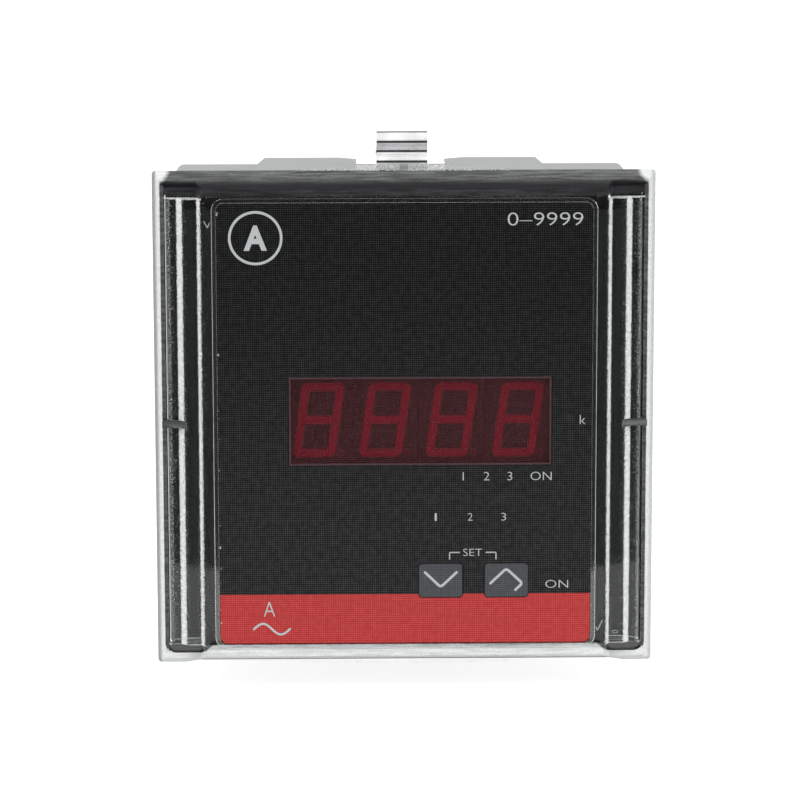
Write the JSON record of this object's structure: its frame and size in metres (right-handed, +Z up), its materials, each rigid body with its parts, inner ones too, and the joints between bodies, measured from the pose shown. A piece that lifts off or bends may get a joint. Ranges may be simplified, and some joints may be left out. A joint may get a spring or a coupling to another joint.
{
  "type": "digital panel meter",
  "caption": "Square panel-mounting digital meter with a clear stepped front, numeric display, press keys, shallow case, rear screw terminals and sliding spring clips.",
  "frame": {"origin": "middle of the panel's front plane, which the rear face of the gasket rests on", "axes": "+Z up the front, +Y into the panel towards the terminals, +X to the right seen from the front; the front faces -Y"},
  "size_m": [0.096, 0.0631, 0.1066],
  "materials": {
    "clear_cover": "clear, moulded",
    "label_film": "printed film, fine grid",
    "display_filter": "tinted film",
    "black_plastic": "moulded",
    "grey_plastic": "moulded",
    "gasket_rubber": "matt",
    "board_laminate": "solder resist",
    "digit_housing": "moulded",
    "segment_red": "diffusing resin",
    "lamp_red": "cast resin",
    "key_plastic": "printed film, fine grid",
    "switch_plastic": "moulded",
    "stem_plastic": "moulded",
    "chip_resin": "moulded",
    "screw_steel": "zinc plated",
    "transformer_shell": "moulded",
    "core_steel": "varnished laminations",
    "coil_tape": "insulating tape",
    "capacitor_can": "sleeved can",
    "terminal_plastic": "moulded",
    "clamp_steel": "zinc plated",
    "spring_steel": "bright rolled"
  },
  "bodies": {
    "housing": {"front_cover": "clear_cover", "front_label": "label_film", "display_window": "display_filter", "inner_frame": "black_plastic", "rear_case": "grey_plastic", "panel_gasket": "gasket_rubber", "display_board": "board_laminate", "digit_1": "digit_housing", "digit_2": "digit_housing", "digit_3": "digit_housing", "digit_4": "digit_housing", "segments_1": "segment_red", "segments_2": "segment_red", "segments_3": "segment_red", "segments_4": "segment_red", "lamp_kilo": "lamp_red", "lamp_phase_1": "lamp_red", "lamp_phase_2": "lamp_red", "lamp_phase_3": "lamp_red", "lamp_link": "lamp_red", "switch_down": "switch_plastic", "switch_up": "switch_plastic", "processor": "chip_resin", "board_screws": "screw_steel", "input_board": "board_laminate", "supply_board": "board_laminate", "input_header": "switch_plastic", "supply_header": "switch_plastic", "current_transformer_1": "transformer_shell", "current_transformer_2": "transformer_shell", "current_transformer_3": "transformer_shell", "transformer_core": "core_steel", "transformer_coil": "coil_tape", "capacitor_1": "capacitor_can", "capacitor_2": "capacitor_can", "current_terminal_block": "terminal_plastic", "supply_terminal_block": "terminal_plastic", "terminal_clamps": "clamp_steel", "terminal_screws": "screw_steel"},
    "key_down_cap": {"key_down": "key_plastic", "switch_stem_down": "stem_plastic"},
    "key_up_cap": {"key_up": "key_plastic", "switch_stem_up": "stem_plastic"},
    "upper_clip": {"clip_top": "spring_steel"},
    "lower_clip": {"clip_bottom": "spring_steel"}
  },
  "joints": [
    {"name": "key_down_press", "type": "slide", "parent": "housing", "child": "key_down_cap", "axis": [0, 1, 0], "range_m": [0, 0.00045], "stiffness_N_per_m": 1500},
    {"name": "key_up_press", "type": "slide", "parent": "housing", "child": "key_up_cap", "axis": [0, 1, 0], "range_m": [0, 0.00045], "stiffness_N_per_m": 1500},
    {"name": "upper_clip_slide", "type": "slide", "parent": "housing", "child": "upper_clip", "axis": [0, 1, 0], "range_m": [-0.0195, 0.005]},
    {"name": "lower_clip_slide", "type": "slide", "parent": "housing", "child": "lower_clip", "axis": [0, 1, 0], "range_m": [-0.0195, 0.005]}
  ]
}
